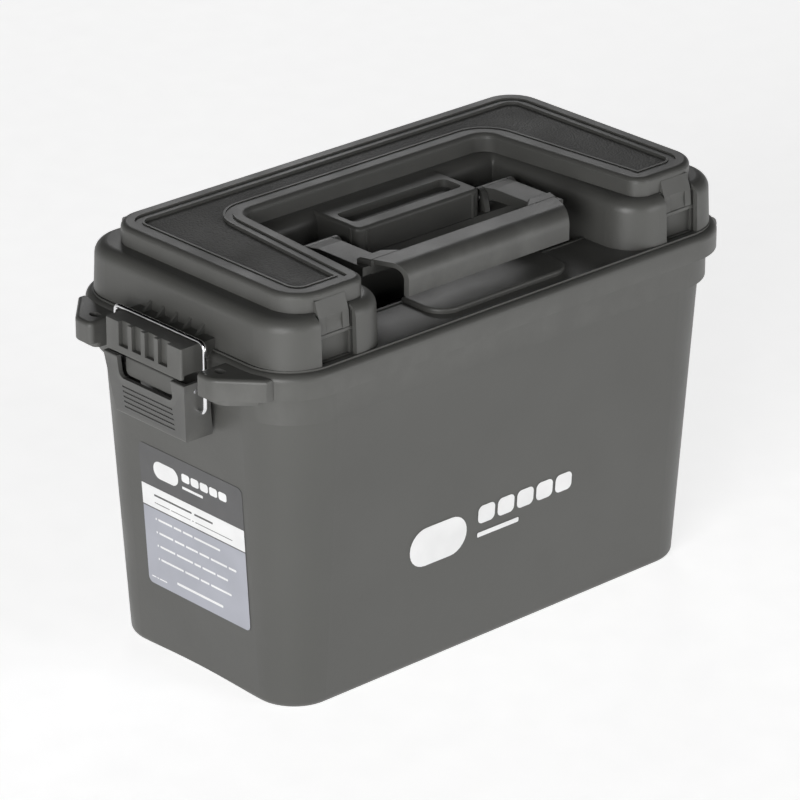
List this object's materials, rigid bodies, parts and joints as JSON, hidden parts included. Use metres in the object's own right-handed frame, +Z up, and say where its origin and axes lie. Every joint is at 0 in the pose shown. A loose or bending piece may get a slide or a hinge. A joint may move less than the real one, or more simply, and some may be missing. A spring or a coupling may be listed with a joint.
{
  "type": "hard storage case",
  "caption": "Hard plastic storage case with a hinged lid, wire-bail latch, folding handle and a lidded compartment in the lid.",
  "frame": {"origin": "centre of the flat underside of the base", "axes": "+X along the case away from the latch, +Y across towards the compartment lid's hinge, +Z up"},
  "size_m": [0.415, 0.205, 0.2715],
  "materials": {
    "case_plastic": "satin",
    "latch_plastic": "satin",
    "bright_steel": "polished",
    "pin_steel": "satin",
    "seal_rubber": "matte",
    "label_film": "semi-gloss",
    "badge_ink": "matte"
  },
  "bodies": {
    "tub": {"body_tub": "case_plastic", "hinge_pin_left": "pin_steel", "hinge_pin_right": "pin_steel", "end_label": "label_film", "side_badge": "badge_ink"},
    "lid": {"lid_shell": "case_plastic", "lid_seal": "seal_rubber", "handle_pin_left": "pin_steel", "handle_pin_right": "pin_steel", "compartment_hinge_pin_1": "pin_steel", "compartment_hinge_pin_2": "pin_steel", "compartment_hinge_pin_3": "pin_steel", "compartment_hinge_pin_4": "pin_steel"},
    "compartment_cover": {"compartment_lid": "case_plastic"},
    "handle": {"carry_handle": "case_plastic"},
    "lever": {"latch_lever": "latch_plastic", "latch_pivot_pin": "pin_steel"},
    "bail": {"latch_bail": "bright_steel"}
  },
  "joints": [
    {"name": "lid_hinge", "type": "hinge", "parent": "tub", "child": "lid", "pos_m": [0.198, 0, 0.2126], "axis": [0, 1, 0], "range_deg": [0, 110]},
    {"name": "compartment_hinge", "type": "hinge", "parent": "lid", "child": "compartment_cover", "pos_m": [0, 0.0884, 0.2629], "axis": [-1, 0, 0], "range_deg": [0, 110]},
    {"name": "handle_pivot", "type": "hinge", "parent": "lid", "child": "handle", "pos_m": [0, -0.001, 0.25], "axis": [-1, 0, 0], "range_deg": [0, 95]},
    {"name": "latch_pivot", "type": "hinge", "parent": "tub", "child": "lever", "pos_m": [-0.2005, 0, 0.207], "axis": [0, 1, 0], "range_deg": [0, 95]},
    {"name": "bail_pivot", "type": "hinge", "parent": "lever", "child": "bail", "pos_m": [-0.197, 0, 0.193], "axis": [0, 1, 0], "range_deg": [-105, 0]}
  ],
  "couplings": [
    {"joint": "bail_pivot", "follows": "latch_pivot", "ratio": -1.1}
  ]
}
